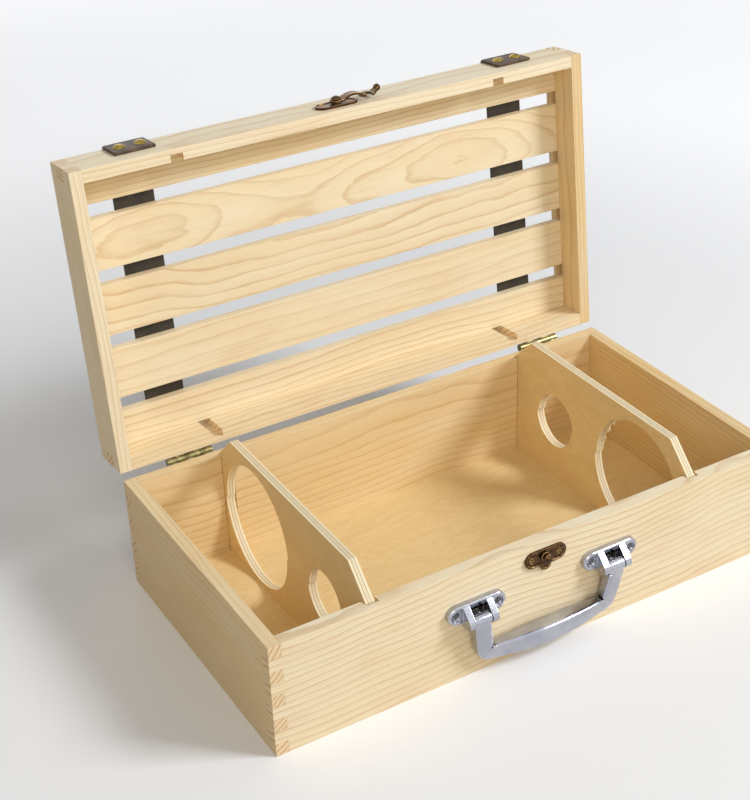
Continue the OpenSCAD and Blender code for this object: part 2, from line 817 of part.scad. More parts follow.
// Flat leg with cut edges and an eye at its top. It runs straight down past the ears, then
// leans inwards to a round lower corner.
module handle_leg(side) {
    corner_x = bracket_x - leg_lean + leg_w / 2 - corner_r;
    corner_z = -handle_drop - grip_end_h / 2 + corner_r;
    difference() {
        union() {
            translate([side * bracket_x - leg_w / 2, 0, 0]) rotate([0, 90, 0])
                cylinder(h = leg_w, r = ear_r - eye_step);
            translate([side * bracket_x, 0, -neck_end]) linear_extrude(neck_end) leg_section();
            intersection() {
                translate([side * bracket_x, 0, -neck_end]) rotate([0, side * leg_angle, 0])
                    translate([0, 0, -handle_drop - corner_r])
                        linear_extrude(handle_drop + corner_r + leg_w) leg_section();
                union() {
                    translate([-2 * bracket_x, -leg_t, corner_z])
                        cube([4 * bracket_x, 2 * leg_t, -neck_end - corner_z]);
                    translate([side * corner_x, leg_t, corner_z]) rotate([90, 0, 0])
                        cylinder(h = 2 * leg_t, r = corner_r);
                }
            }
        }
        translate([side * bracket_x - leg_w, 0, 0]) rotate([0, 90, 0])
            cylinder(h = 2 * leg_w, r = handle_pin_r + pin_fit);
    }
}

// Cross-section of a leg: a bar with its edges cut off at 45 degrees
module leg_section() {
    half_w = leg_w / 2;
    half_t = leg_t / 2;
    polygon([
        [half_w - leg_edge, -half_t], [half_w, leg_edge - half_t],
        [half_w, half_t - leg_edge], [half_w - leg_edge, half_t],
        [leg_edge - half_w, half_t], [-half_w, half_t - leg_edge],
        [-half_w, leg_edge - half_t], [leg_edge - half_w, -half_t]
    ]);
}

// Groove in the lid's end boards for the slats' ends
module slat_end_groove() {
    translate([0, 0, rim_z + slat_rise + slat_t / 2])
        cube([slat_l + 2 * slat_fit, inner_d, slat_t + 2 * slat_fit], center = true);
}

module nail_places() {
    for (strap = [-1, 1], nail = [-1, 1]) {
        on_front(strap * strap_x + nail * nail_pitch / 2, lid_top - nail_drop)
            translate([0, 0, strap_t]) children();
        on_back(strap * strap_x + nail * nail_pitch / 2, lid_top - nail_drop)
            translate([0, 0, strap_t]) children();
    }
}

module nail_hole() {
    depth = strap_t + nail_bite + screw_fit;
    translate([0, 0, -depth]) cylinder(h = depth + past, r = nail_r + screw_fit);
}

module strap_nails() {
    color(BRASS) swung_open() nail_places() {
        dome(nail_head_r, nail_head_h);
        translate([0, 0, -strap_t - nail_bite])
            cylinder(h = strap_t + nail_bite + nail_head_h / 2, r = nail_r);
    }
}

module lid_front_rail() {
    color(PINE) swung_open() difference() {
        long_board(-1, rim_z, lid_h, lid_fingers);
        latch_screw_places(rim_z + hook_rise) screw_hole(small_head_r, small_shank_r, small_screw_l);
        on_front(0, rim_z + hook_rise) stud_hole();
        nail_places() nail_hole();
    }
}

module lid_back_rail() {
    color(PINE) swung_open() difference() {
        long_board(1, rim_z, lid_h, lid_fingers);
        hinge_screw_places(1) screw_hole(small_head_r, small_shank_r, small_screw_l);
        nail_places() nail_hole();
    }
}

module lid_end(side) {
    color(PINE) swung_open() difference() {
        end_board(side, rim_z, lid_h, lid_fingers);
        slat_end_groove();
    }
}

module lid_left_end() {
    lid_end(-1);
}

module lid_right_end() {
    lid_end(1);
}

// Slat number i, counted from 0 at the hinge side. The first and the last one fill up to the rails.
module lid_slat(i) {
    first_gap = wall + first_slat_w;
    from_hinge = i == 0 ? wall + slat_fit : first_gap + (i - 1) * slat_pitch + slat_gap;
    to_front = i == slats - 1 ? box_depth - wall - slat_fit : first_gap + i * slat_pitch;
    color(PINE) swung_open() translate([-slat_l / 2, half_d - to_front, rim_z + slat_rise])
        cube([slat_l, to_front - from_hinge, slat_t]);
}

module lid_slat_1() {
    lid_slat(0);
}

module lid_slat_2() {
    lid_slat(1);
}

module lid_slat_3() {
    lid_slat(2);
}

module lid_slat_4() {
    lid_slat(3);
}

module lid_slat_5() {
    lid_slat(4);
}

// One end of a strap, drawn in (y, z) from the middle of the lid towards its front:
// along the slats, up a slope to the frame's edge, round it and down the outside
module strap_half(end_w) {
    slat_top = rim_z + slat_rise + slat_t;
    end_z = rim_z + end_w;
    slope_run = strap_slope;
    translate([-inner_d / 2 + slope_run, slat_top]) square([inner_d / 2 - slope_run, strap_t]);
    polygon([
        [-inner_d / 2, lid_top], [-inner_d / 2 + slope_run, slat_top],
        [-inner_d / 2 + slope_run, slat_top + strap_t], [-inner_d / 2, lid_top + strap_t]
    ]);
    translate([-half_d, lid_top]) square([wall, strap_t]);
    intersection() {
        translate([-half_d, lid_top]) circle(strap_t);
        translate([-half_d - strap_t, lid_top]) square(strap_t);
    }
    translate([-half_d - strap_t, end_z]) square([strap_t, lid_top - end_z]);
}

module strap(side) {
    color(LEATHER) swung_open() difference() {
        translate([side * strap_x - strap_w / 2, 0, 0]) rotate([90, 0, 90]) linear_extrude(strap_w) {
            strap_half(strap_front_end);
            mirror([1, 0]) strap_half(strap_back_end);
        }
        nail_places() nail_hole();
    }
}

module left_strap() {
    strap(-1);
}

module right_strap() {
    strap(1);
}

base_front_board();
base_back_board();
base_left_end();
base_right_end();
base_floor();
left_lower_cradle();
left_upper_cradle();
right_lower_cradle();
right_upper_cradle();
left_hinge_base_leaf();
right_hinge_base_leaf();
left_hinge_pin();
right_hinge_pin();
hinge_base_screws();
catch_plate();
catch_stud();
catch_screws();
left_handle_bracket();
right_handle_bracket();
left_handle_pin();
right_handle_pin();
handle_bracket_screws();
lid_front_rail();
lid_back_rail();
lid_left_end();
lid_right_end();
lid_slat_1();
lid_slat_2();
lid_slat_3();
lid_slat_4();
lid_slat_5();
left_strap();
right_strap();
strap_nails();
left_hinge_lid_leaf();
right_hinge_lid_leaf();
hinge_lid_screws();
hook_plate();
hook_plate_screws();
hook_rivet();
latch_hook();
carry_handle();
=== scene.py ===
"""Wooden wine box: finishes, fine pieces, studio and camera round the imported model.

Everything is in metres in the model's own frame: the origin is the centre of the underside,
+X runs along the box to the right, the front faces -Y and +Z is up. Sizes of pieces are named
in millimetres.
"""

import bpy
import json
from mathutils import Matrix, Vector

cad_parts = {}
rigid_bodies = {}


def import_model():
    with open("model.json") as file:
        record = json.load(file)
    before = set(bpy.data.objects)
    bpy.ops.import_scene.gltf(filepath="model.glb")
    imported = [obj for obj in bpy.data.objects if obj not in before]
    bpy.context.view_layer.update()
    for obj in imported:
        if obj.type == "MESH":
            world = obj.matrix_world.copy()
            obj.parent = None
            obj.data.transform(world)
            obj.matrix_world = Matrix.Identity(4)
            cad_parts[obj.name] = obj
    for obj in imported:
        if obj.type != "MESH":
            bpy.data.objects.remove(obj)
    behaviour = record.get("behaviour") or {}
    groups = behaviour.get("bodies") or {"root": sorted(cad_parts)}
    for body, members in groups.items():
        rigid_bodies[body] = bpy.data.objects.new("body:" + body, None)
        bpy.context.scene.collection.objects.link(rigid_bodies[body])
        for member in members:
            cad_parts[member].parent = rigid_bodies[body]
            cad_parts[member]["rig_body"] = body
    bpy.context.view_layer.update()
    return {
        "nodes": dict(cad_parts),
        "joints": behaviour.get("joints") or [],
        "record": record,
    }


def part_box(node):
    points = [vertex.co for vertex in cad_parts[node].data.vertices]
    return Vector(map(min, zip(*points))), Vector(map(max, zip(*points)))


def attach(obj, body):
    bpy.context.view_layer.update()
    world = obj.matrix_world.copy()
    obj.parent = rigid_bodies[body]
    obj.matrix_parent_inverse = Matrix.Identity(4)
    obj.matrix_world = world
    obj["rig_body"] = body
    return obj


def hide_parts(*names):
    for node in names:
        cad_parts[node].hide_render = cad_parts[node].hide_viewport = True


bl_info = {
    "name": "Wooden wine box",
    "version": (1, 0, 0),
    "blender": (4, 5, 0),
    "location": "View3D > Sidebar > Wine box",
    "description": "Dresses the modelled wine box with pine, plywood, leather and metal",
    "category": "Object",
}

import json
import math

import bpy
import numpy as np

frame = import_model()
NODES = frame["nodes"]
JOINTS = {joint["name"]: joint for joint in frame["joints"]}
SLOTS = {entry["node"]: entry["material_slot"] for entry in frame["record"]["subparts"]}
MM = 0.001

LID_TURN = math.radians(-JOINTS["lid_hinge"]["range_deg"][1])
LID_PIVOT = np.array(JOINTS["lid_hinge"]["pos_m"])
HANDLE_PIVOT = np.array(JOINTS["handle_pivot"]["pos_m"])


def turned_x(points, angle, pivot):
    """Points turned by an angle about the line through pivot along x."""
    c, s = math.cos(angle), math.sin(angle)
    turn = np.array([[1, 0, 0], [0, c, -s], [0, s, c]])
    return (np.asarray(points, dtype=float) - pivot) @ turn.T + pivot


def srgb(red, green, blue):
    """Linear colour of an 8-bit display colour."""
    display = np.array([red, green, blue]) / 255
    linear = np.where(display <= 0.04045, display / 12.92, ((display + 0.055) / 1.055) ** 2.4)
    return (*linear.tolist(), 1.0)


# Shader nodes


class Socket:
    """One output of a shader node. Arithmetic on it adds Math nodes, from either side."""

    def __init__(self, nodes, link):
        self.nodes = nodes
        self.link = link

    def math(self, operation, *terms):
        return self.nodes.add("ShaderNodeMath", {"operation": operation}, dict(enumerate(terms)))

    def __add__(self, other):
        return self.math("ADD", self, other)

    def __radd__(self, other):
        return self.math("ADD", other, self)

    def __sub__(self, other):
        return self.math("SUBTRACT", self, other)

    def __rsub__(self, other):
        return self.math("SUBTRACT", other, self)

    def __mul__(self, other):
        return self.math("MULTIPLY", self, other)

    def __rmul__(self, other):
        return self.math("MULTIPLY", other, self)

    def __truediv__(self, other):
        return self.math("DIVIDE", self, other)

    def fract(self):
        return self.math("FRACT", self)

    def sqrt(self):
        return self.math("SQRT", self)

    def size(self):
        return self.math("ABSOLUTE", self)

    def larger(self, other):
        return self.math("MAXIMUM", self, other)

    def step(self, low, high):
        """0 below low, 1 above high and an S curve between them."""
        return self.nodes.add("ShaderNodeMapRange", {"interpolation_type": "SMOOTHSTEP"},
                              {"Value": self, "From Min": low, "From Max": high})

    def parts(self):
        """Every output of the node that this socket belongs to."""
        return [Socket(self.nodes, link) for link in self.link.node.outputs]


class Nodes:
    """The node tree of one material or of the world, filled by one method."""

    def __init__(self, owner, output):
        owner.use_nodes = True
        self.owner = owner
        self.tree = owner.node_tree
        self.tree.nodes.clear()
        self.output = output

    def add(self, kind, settings=None, sockets=None, out=0):
        """Adds a node of a kind: first its settings, then a value or a link for each socket."""
        node = self.tree.nodes.new(kind)
        for name, setting in (settings or {}).items():
            setattr(node, name, setting)
        for place, given in (sockets or {}).items():
            if isinstance(given, Socket):
                self.tree.links.new(given.link, node.inputs[place])
            else:
                node.inputs[place].default_value = given
        return Socket(self, node.outputs[out]) if node.outputs else None

    def mix(self, factor, first, second):
        """The colour that lies between first and second."""
        return self.add("ShaderNodeMix", {"data_type": "RGBA"}, {0: factor, 6: first, 7: second}, out=2)

    def join(self, x, y, z):
        """A vector of three values."""
        return self.add("ShaderNodeCombineXYZ", sockets={"X": x, "Y": y, "Z": z})

    def place(self, turn=0.0):
        """Object coordinates in millimetres, turned back about the lid's pins by a turn."""
        at = self.add("ShaderNodeTexCoord", out="Object")
        if turn:
            at = self.add("ShaderNodeVectorRotate", {"rotation_type": "X_AXIS"},
                          {"Vector": at, "Center": tuple(LID_PIVOT), "Angle": -turn})
        return self.add("ShaderNodeVectorMath", {"operation": "SCALE"}, {"Vector": at, "Scale": 1 / MM})

    def facing(self, axis, turn=0.0):
        """How squarely the surface faces along an axis, from 0 to 1."""
        normal = self.add("ShaderNodeTexCoord", out="Normal")
        if turn:
            normal = self.add("ShaderNodeVectorRotate", {"rotation_type": "X_AXIS"},
                              {"Vector": normal, "Angle": -turn})
        return self.xyz(normal)[axis].size()

    def xyz(self, vector):
        """The three values of a vector."""
        return self.add("ShaderNodeSeparateXYZ", sockets={0: vector}).parts()

    def noise(self, at, scale=1.0, detail=2.0, rough=0.5, distortion=0.0):
        """Noise about a half, from a vector."""
        return self.add("ShaderNodeTexNoise", {"noise_dimensions": "3D"},
                        {"Vector": at, "Scale": scale, "Detail": detail, "Roughness": rough,
                         "Distortion": distortion})

    def round_edge(self, radius):
        """The normal of the surface as if its edges were rounded to a radius."""
        return self.add("ShaderNodeBevel", {"samples": 6}, {"Radius": radius * MM})

    def edge_wear_and_highlight_mask(self, normal, low=0.01, high=0.12):
        """1 along the piece's edges and 0 on its faces, by how far a rounded normal leans."""
        flat = self.add("ShaderNodeNewGeometry", out="Normal")
        lean = self.add("ShaderNodeVectorMath", {"operation": "DOT_PRODUCT"}, {0: normal, 1: flat},
                        out="Value")
        return (1.0 - lean).step(low, high)

    def relief(self, height, strength, depth, normal=None):
        """The normal of a surface whose height runs from 0 to depth millimetres."""
        sockets = {"Height": height, "Strength": strength, "Distance": depth * MM}
        if normal is not None:
            sockets["Normal"] = normal
        return self.add("ShaderNodeBump", sockets=sockets)

    def finish(self, **sockets):
        """Ends a material in one Principled shader and gives the material back."""
        named = {name.replace("_", " "): given for name, given in sockets.items()}
        shader = self.add("ShaderNodeBsdfPrincipled", sockets=named)
        self.add(self.output, sockets={"Surface": shader})
        return self.owner


def material(name):
    """The nodes of a new material."""
    return Nodes(bpy.data.materials.new(name), "ShaderNodeOutputMaterial")


# Wood, leather and metal

SLIVER_BROWN = srgb(176, 132, 78)
FLECK_BROWN = srgb(196, 154, 96)
WOOD_EDGE_R = 0.4
PLY_EDGE_R = 0.25
LEATHER_EDGE_R = 0.7
WOOD_GLOSS = 0.28
MIDDLE_CONTRAST = 0.6


def pine(name, along, pith, ring, wander=9.0, contrast=MIDDLE_CONTRAST, seed=0.0, warm=0.5,
         tan=0.0, turn=0.0, fine=0.5):
    """Pine cut from a log: yearly rings round a pith that wanders beside the board.

    along is the grain's axis, 0 for x and 1 for y. pith is the distance from the board's
    coordinates across the grain to the pith, ring the width of one ring and wander how far the
    pith strays, in millimetres. warm, tan and fine are strengths of the warm clouds, the tan
    and the short dark streaks, and turn is the lid's turn for a board of the lid. The tan is
    painted shade, a darker, browner colour for the boards whose faces lie in shade; these boards
    also get more of the warm clouds, which add to that painted shade. The slats and the lid's
    back rail get a little tan as well.
    The radius from the pith, roughened by noise, is divided by the ring's width; its fraction
    rises slowly through the pale wood and falls off sharply after the thin dark line.
    """
    tone = look()
    wood = material(name)
    place = wood.xyz(wood.place(turn))
    length, across, up = place[along], place[1 - along], place[2]
    slow = (across / 300.0, up / 300.0)
    drift_a = wood.noise(wood.join(length / 170.0 + seed, *slow), detail=2.0, rough=0.4)
    drift_b = wood.noise(wood.join(length / 120.0 - seed, slow[0] + 7.3, slow[1]), detail=2.0, rough=0.4)
    off_a = across - pith[0] + (drift_a - 0.5) * (2.0 * wander)
    off_b = up - pith[1] + (drift_b - 0.5) * (3.0 * wander)
    ripple = wood.noise(wood.join(length / 46.0, across / 9.0, up / 9.0 + seed), detail=3.0, rough=0.55) - 0.5
    radius = (off_a * off_a + off_b * off_b).sqrt() + ripple * (0.8 * ring)
    uneven = wood.noise(wood.join(radius / (5.0 * ring) + seed, 0.3, 0.7), detail=1.0) - 0.5
    year = (radius / ring + uneven * 1.8).fract()
    early = year.step(0.0, 0.8)
    late = year.step(0.66, 0.93) * (1.0 - year.step(0.94, 1.0))
    patchy = wood.noise(wood.join(length / 90.0, across / 22.0 + seed, up / 22.0)).step(0.3, 0.7)
    fibre = wood.noise(wood.join(length / 18.0, across * 1.9, up * 1.9 + seed), detail=3.0, rough=0.6)
    streak = wood.noise(wood.join(length / 70.0 + seed, across / 1.3, up / 1.3), detail=2.0).step(0.52, 0.74)
    fleck = wood.noise(wood.join(length / 3.4, across * 1.1 + seed, up * 1.1), detail=1.0, rough=0.4)
    fleck = fleck.step(0.66, 0.78)
    cloud = wood.noise(wood.join(length / 75.0 + seed, across / 26.0, up / 26.0)).step(0.3, 0.7)
    blush = wood.noise(wood.join(length / 55.0, across / 17.0, up / 17.0 - seed)).step(0.52, 0.8)
    body = wood.mix(cloud * (0.35 + 0.65 * warm), tone.pine_pale, tone.pine_warm)
    body = wood.mix(blush * 0.4, body, tone.pine_pink)
    # Painted shade: the tan darkens and browns the whole board, and is set high on the boards whose faces lie
    # in shade.
    if tan:
        body = wood.mix(patchy * (0.3 * tan) + 0.85 * tan, body, tone.pine_shade_tan)
    body = wood.mix(early * (0.18 * contrast), body, tone.pine_late)
    colour = wood.mix(late * (0.45 + patchy * 0.55) * contrast, body, tone.pine_late)
    colour = wood.mix(streak * (0.28 * fine), colour, tone.pine_late)
    colour = wood.mix((fibre - 0.5).step(0.0, 0.4) * 0.20, colour, FLECK_BROWN)
    colour = wood.mix(fleck * 0.16, colour, SLIVER_BROWN)
    end_lines = year.step(0.35, 0.85) * (1.0 - year.step(0.93, 1.0))
    end_body = wood.mix(0.45, tone.pine_warm, tone.pine_pink)
    end_colour = wood.mix(end_lines * 0.55, end_body, tone.pine_end)
    end_colour = wood.mix(fleck * 0.25, end_colour, SLIVER_BROWN)
    colour = wood.mix(wood.facing(along, turn).step(0.6, 0.9), colour, end_colour)
    edge = wood.round_edge(WOOD_EDGE_R)
    return wood.finish(
        Base_Color=colour,
        Roughness=wood.noise(wood.join(length / 20.0, across / 3.0, up / 3.0)) * 0.16 + 0.52,
        Specular_IOR_Level=WOOD_GLOSS,
        Normal=wood.relief(fibre * 0.55 + late * 0.45, 0.22, 0.12, edge),
    )


GLUE_BROWN = srgb(158, 118, 72)
PLY_STREAK = srgb(202, 164, 102)
GLUE_DEPTHS = (0.30, 0.70)


def plywood(name, axis, first_face, thickness, seed=0.0):
    """Plywood whose plies lie across an axis, from first_face on, in millimetres.

    The depth into the sheet, from 0 to 1 and roughened a little, picks the ply: cream outside,
    grey-white in the middle, with a thin brown glue line on each side of the middle. The faces
    show the wavy figure of peeled veneer.
    """
    tone = look()
    wood = material(name)
    place = wood.xyz(wood.place())
    depth = (place[axis] - first_face) / thickness
    first, second = [place[i] for i in range(3) if i != axis]
    wave = wood.noise(wood.join(first / 60.0 + seed, second / 16.0, 0.4), detail=3.0, distortion=0.6)
    figure = (wave * 7.0).fract()
    fine = wood.noise(wood.join(first / 9.0, second * 1.3 + seed, 0.1), detail=3.0, rough=0.6)
    pore = wood.noise(wood.join(first / 4.0, second * 1.6, seed), detail=1.0).step(0.66, 0.76)
    face = wood.mix(figure.step(0.2, 0.9) * 0.35, tone.ply_face, tone.ply_figure)
    face = wood.mix((fine - 0.5).step(0.0, 0.4) * 0.25, face, PLY_STREAK)
    face = wood.mix(pore * 0.22, face, SLIVER_BROWN)
    ripple = wood.noise(wood.join(first / 5.0, second / 5.0, seed)) - 0.5
    layer = depth + ripple * 0.05
    glue = None
    for centre in GLUE_DEPTHS:
        line = 1.0 - (layer - centre).size().step(0.015, 0.055)
        glue = line if glue is None else glue.larger(line)
    core = 1.0 - (layer - 0.5).size().step(0.17, 0.22)
    grit = wood.noise(wood.join(first / 1.2, second / 1.2, place[axis] / 0.7))
    edge = wood.mix(core, tone.ply_cream, tone.ply_core)
    edge = wood.mix(glue * 0.7, edge, GLUE_BROWN)
    edge = wood.mix(grit.step(0.5, 0.8) * 0.3, edge, PLY_STREAK)
    colour = wood.mix(wood.facing(axis).step(0.5, 0.8), edge, face)
    return wood.finish(
        Base_Color=colour,
        Roughness=fine * 0.12 + 0.5,
        Specular_IOR_Level=WOOD_GLOSS,
        Normal=wood.relief(fine, 0.15, 0.1, wood.round_edge(PLY_EDGE_R)),
    )


def splinters(name):
    """Freshly torn veneer: pale fibres that run straight up and down."""
    tone = look()
    wood = material(name)
    x, y, z = wood.xyz(wood.place())
    fibre = wood.noise(wood.join(x * 2.0, y * 3.0, z / 4.0), detail=3.0, rough=0.6)
    return wood.finish(
        Base_Color=wood.mix(fibre.step(0.35, 0.7), tone.ply_cream, tone.ply_core),
        Roughness=fibre * 0.2 + 0.6,
        Specular_IOR_Level=0.2,
        Normal=wood.relief(fibre, 0.3, 0.1),
    )


LEATHER_CREASE_SHADE = srgb(20, 17, 13)
PEBBLES_PER_MM = 0.95
STRAP_END_Y = (95.9, 96.9)


def leather(name):
    """Dark pebbled leather with worn edges, browner on its two ends over the rails.

    Cells of a Voronoi pattern give the pebbles, and the creases between them are darkened as
    painted shade; the closed lid's own y tells the ends from the middle.
    """
    tone = look()
    hide = material(name)
    at = hide.place(LID_TURN)
    outside = hide.xyz(at)[1].size().step(*STRAP_END_Y)
    cells = hide.add("ShaderNodeTexVoronoi", {"feature": "DISTANCE_TO_EDGE"},
                     {"Vector": at, "Scale": PEBBLES_PER_MM, "Randomness": 0.9})
    pebble = cells.step(0.0, 0.22)
    blotch = hide.noise(at, 0.12, 3.0, 0.6)
    scuff = hide.noise(at, 0.45, 4.0, 0.65).step(0.52, 0.72)
    edge = hide.edge_wear_and_highlight_mask(hide.round_edge(LEATHER_EDGE_R), 0.02, 0.25)
    dark = hide.mix(blotch.step(0.3, 0.7), tone.leather_dark, tone.leather_pale)
    brown = hide.mix(blotch.step(0.35, 0.7), tone.leather_end, tone.leather_worn)
    colour = hide.mix(outside * 0.85, dark, brown)
    colour = hide.mix(scuff * 0.25, colour, tone.leather_worn)
    colour = hide.mix(edge * 0.5, colour, tone.leather_worn)
    # Painted shade: the creases between the pebbles are darkened towards near black.
    colour = hide.mix((1.0 - pebble) * 0.4, colour, LEATHER_CREASE_SHADE)
    return hide.finish(
        Base_Color=colour,
        Roughness=blotch * 0.2 + 0.46,
        Specular_IOR_Level=0.4,
        Normal=hide.relief(pebble, 0.55, 0.14),
    )


def metal(name, dull, bright, edge_wear_and_highlight_colour, edge_r, edge_strength, smooth, waves, grain=0.4, mottle=0.12):
    """Metal whose colour runs in patches from dull to bright, with a lighter colour along its edges:
    worn metal on the brass, bronze and steel, a painted highlight on the chrome.

    edge_strength is how strongly the edges show, smooth the middle roughness, mottle how far it
    varies and waves the depth in millimetres of the faint waviness of a cast or pressed part.
    There are about grain patches to a millimetre.
    """
    made = material(name)
    at = made.place()
    patch = made.noise(at, grain, 4.0, 0.6)
    haze = made.noise(at, 4.0 * grain, 3.0, 0.6)
    wave = made.noise(at, 0.12, 1.0, 0.3)
    edge = made.round_edge(edge_r)
    colour = made.mix(patch.step(0.35, 0.7), dull, bright)
    # Lighter edges: worn metal on the brass, bronze and steel, a painted highlight on the chrome.
    colour = made.mix(made.edge_wear_and_highlight_mask(edge) * edge_strength, colour, edge_wear_and_highlight_colour)
    return made.finish(
        Base_Color=colour,
        Metallic=1.0,
        Roughness=(haze + patch) * mottle + (smooth - mottle),
        Normal=made.relief(haze * 0.08 + wave * 0.92, 0.3, waves, edge),
    )


# Surfaces


def rounded_path(corners, radii, steps=10):
    """A polyline whose inner corners are arcs.

    At each corner the arc touches both sides at the tangent length r tan(turn / 2) and is
    drawn by turning the first touching point about the arc's centre in equal steps.
    """
    corners = np.asarray(corners, dtype=float)
    runs = [corners[:1]]
    for before, corner, after, radius in zip(corners, corners[1:], corners[2:], radii):
        into = (corner - before) / np.linalg.norm(corner - before)
        out = (after - corner) / np.linalg.norm(after - corner)
        turn = math.atan2(into[0] * out[1] - into[1] * out[0], into @ out)
        first = corner - into * radius * math.tan(abs(turn) / 2)
        side = math.copysign(1.0, turn) * np.array([-into[1], into[0]])
        centre = first + radius * side
        angles = turn * np.linspace(0.0, 1.0, steps)[:, None]
        arm = first - centre
        across = np.array([-arm[1], arm[0]])
        runs.append(centre + np.cos(angles) * arm + np.sin(angles) * across)
    runs.append(corners[-1:])
    return np.vstack(runs)


def evened(path, spacing):
    """A path cut into pieces no longer than a spacing, with every point of it kept."""
    lengths = np.linalg.norm(np.diff(path, axis=0), axis=1)
    along = np.concatenate([[0.0], np.cumsum(lengths)])
    marks = np.unique(np.concatenate([along, np.arange(0.0, along[-1], spacing)]))
    return np.stack([np.interp(marks, along, path[:, i]) for i in range(path.shape[1])], axis=1)


def soft_box(half_a, half_b, power, around):
    """Outline |a / A|^n + |b / B|^n = 1, a rectangle whose corners are rounder as n is smaller."""
    angles = np.linspace(0.0, 2 * math.pi, around, endpoint=False)
    c, s = np.cos(angles), np.sin(angles)
    a = np.sign(c) * np.abs(c) ** (2 / power)
    b = np.sign(s) * np.abs(s) ** (2 / power)
    return np.asarray(half_a)[..., None] * a, np.asarray(half_b)[..., None] * b


def skin(rings, looped=False):
    """Points, quads and triangles of a closed skin over rings of points.

    Each ring joins the next by quads. The ends are closed by fans about their middles, or the
    last ring joins the first where the skin is looped. The skin is turned inside out if the
    volume that it encloses comes out negative.
    """
    count, around = rings.shape[:2]
    rows = np.arange(count if looped else count - 1)[:, None]
    turn = np.arange(around)[None, :]
    steps = ((0, 0), (0, 1), (1, 1), (1, 0))
    corners = [(rows + i) % count * around + (turn + j) % around for i, j in steps]
    quads = np.stack([index.ravel() for index in corners], axis=1)
    points = rings.reshape(-1, 3)
    fans = np.zeros((0, 3), dtype=int)
    if not looped:
        near, after = np.arange(around), (np.arange(around) + 1) % around
        last = (count - 1) * around
        middles = np.vstack([rings[0].mean(axis=0), rings[-1].mean(axis=0)])
        fans = np.vstack([
            np.stack([np.full(around, len(points)), after, near], axis=1),
            np.stack([np.full(around, len(points) + 1), near + last, after + last], axis=1),
        ])
        points = np.vstack([points, middles])
    halves = points[np.vstack([quads[:, [0, 1, 2]], quads[:, [0, 2, 3]], fans])]
    if np.einsum("ij,ij->i", halves[:, 0], np.cross(halves[:, 1], halves[:, 2])).sum() < 0:
        quads, fans = quads[:, ::-1], fans[:, ::-1]
    return points, quads, fans


def piece(name, skins, node, made, stands_for=True, smooth=True):
    """A new piece of one or more skins, in millimetres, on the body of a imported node.

    It stands for the node, or else is one more piece beside it.
    """
    points, faces, start = [], [], 0
    for corners, quads, fans in skins:
        points.append(corners)
        faces += (quads + start).tolist() + (fans + start).tolist()
        start += len(corners)
    mesh = bpy.data.meshes.new(name)
    mesh.from_pydata(np.vstack(points) * MM, [], faces)
    if smooth:
        mesh.shade_smooth()
    mesh.materials.append(made)
    thing = bpy.data.objects.new(name, mesh)
    bpy.context.scene.collection.objects.link(thing)
    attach(thing, NODES[node]["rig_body"])
    if stands_for:
        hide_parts(node)
    return thing


def dress(node, made):
    """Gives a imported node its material."""
    slots = NODES[node].data.materials
    slots.clear()
    slots.append(made)


# Sizes and colours


def colour(name, description, *display):
    """A colour that a user may change."""
    return bpy.props.FloatVectorProperty(name=name, description=description, default=srgb(*display),
                                         size=4, min=0.0, max=1.0, subtype="COLOR")


def share(name, description, default):
    """A strength from 0 to 1 that a user may change."""
    return bpy.props.FloatProperty(name=name, description=description, default=default,
                                   min=0.0, max=1.0, subtype="FACTOR")


def size(name, description, default, low, high):
    """A size in millimetres that a user may change."""
    return bpy.props.FloatProperty(name=name, description=description + ", in millimetres",
                                   default=default, min=low, max=high)


def power(name, description, default):
    """The power of a lamp."""
    return bpy.props.FloatProperty(name=name, description=description, default=default,
                                   min=0.0, unit="POWER")


class BoxFinishes(bpy.types.PropertyGroup):
    """Colours of the woods, the leather and the metals"""

    pine_pale: colour("Pale pine", "Early wood of the pine boards", 249, 239, 213)
    pine_warm: colour("Warm pine", "Warmer clouds in the pine boards", 246, 228, 190)
    pine_pink: colour("Pink pine", "Pinkish patches in the pine boards", 241, 216, 184)
    # The tanned pine is painted shade: a darker, browner colour for the base's ends and back and the lid's
    # right end, whose faces lie in shade.
    pine_shade_tan: colour("Tanned pine", "Older boards, such as the ends and the back", 226, 190, 122)
    pine_late: colour("Ring line", "Late wood of the pine boards", 208, 168, 110)
    pine_end: colour("End grain", "Ring lines on the pine's end grain", 192, 140, 96)
    ring_contrast: share("Ring contrast", "How strongly the yearly rings show in the pine", 0.62)
    ply_face: colour("Veneer", "Faces of the plywood", 238, 212, 160)
    ply_figure: colour("Veneer figure", "Darker waves on the faces of the plywood", 226, 194, 134)
    ply_cream: colour("Outer ply", "Cut edge of the plywood's outer plies", 246, 234, 200)
    ply_core: colour("Middle ply", "Cut edge of the plywood's middle ply", 232, 220, 190)
    leather_dark: colour("Dark leather", "Dark patches of the straps", 46, 42, 35)
    leather_pale: colour("Paler leather", "Paler patches of the straps", 66, 61, 50)
    leather_end: colour("Strap ends", "Leather on the outside of the rails", 64, 45, 34)
    leather_worn: colour("Worn leather", "Rubbed edges and scuffs of the straps", 116, 92, 70)


class BoxShapes(bpy.types.PropertyGroup):
    """Sizes of the handle and the straps"""

    grip_end_h: size("Grip end", "Height of the grip at its ends", 10.0, 8.0, 12.0)
    grip_mid_h: size("Grip middle", "Height of the grip at its middle", 13.5, 12.0, 15.0)
    grip_swell: size("Grip swell", "How far the grip's middle stands out before its ends", 4.0, 2.0, 5.0)
    leg_t: size("Leg thickness", "Thickness of the handle's legs", 7.0, 6.0, 7.5)
    strap_w: size("Strap width", "Width of the leather straps", 26.0, 20.0, 34.0)
    strap_t: size("Strap thickness", "Thickness of the leather", 2.2, 1.5, 3.0)


